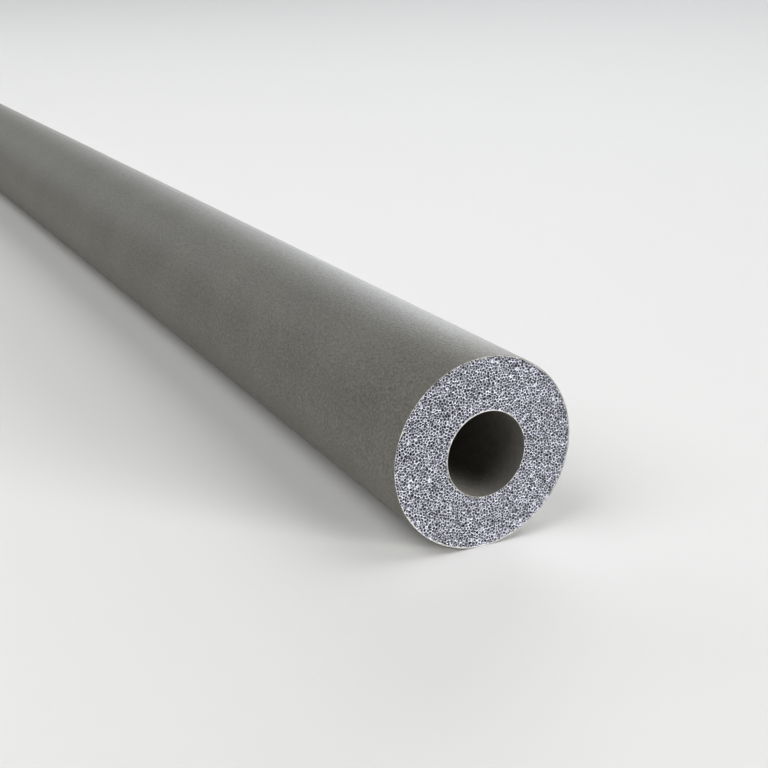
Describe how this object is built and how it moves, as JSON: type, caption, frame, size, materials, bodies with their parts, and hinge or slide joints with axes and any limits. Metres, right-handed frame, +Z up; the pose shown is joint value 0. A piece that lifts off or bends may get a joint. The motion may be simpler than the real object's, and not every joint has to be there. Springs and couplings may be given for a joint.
{
  "type": "pipe insulation lagging",
  "caption": "Straight round tube of closed-cell foam with a through bore, slid over a water or heating pipe to insulate it; cut square at both ends.",
  "frame": {"origin": "centre of the tube: on the axis of its round outside, half way along its length", "axes": "+X along the tube towards the cut end that the picture shows, +Z up as the tube lies on a level floor, +Y to the right when looking from that end along the tube"},
  "size_m": [1, 0.05, 0.05],
  "materials": {
    "foam": "matte grey extruded foam skin, with an open pale blue-grey cell structure on the cut ends"
  },
  "bodies": {
    "root": {"foam_tube": "foam"}
  },
  "joints": []
}
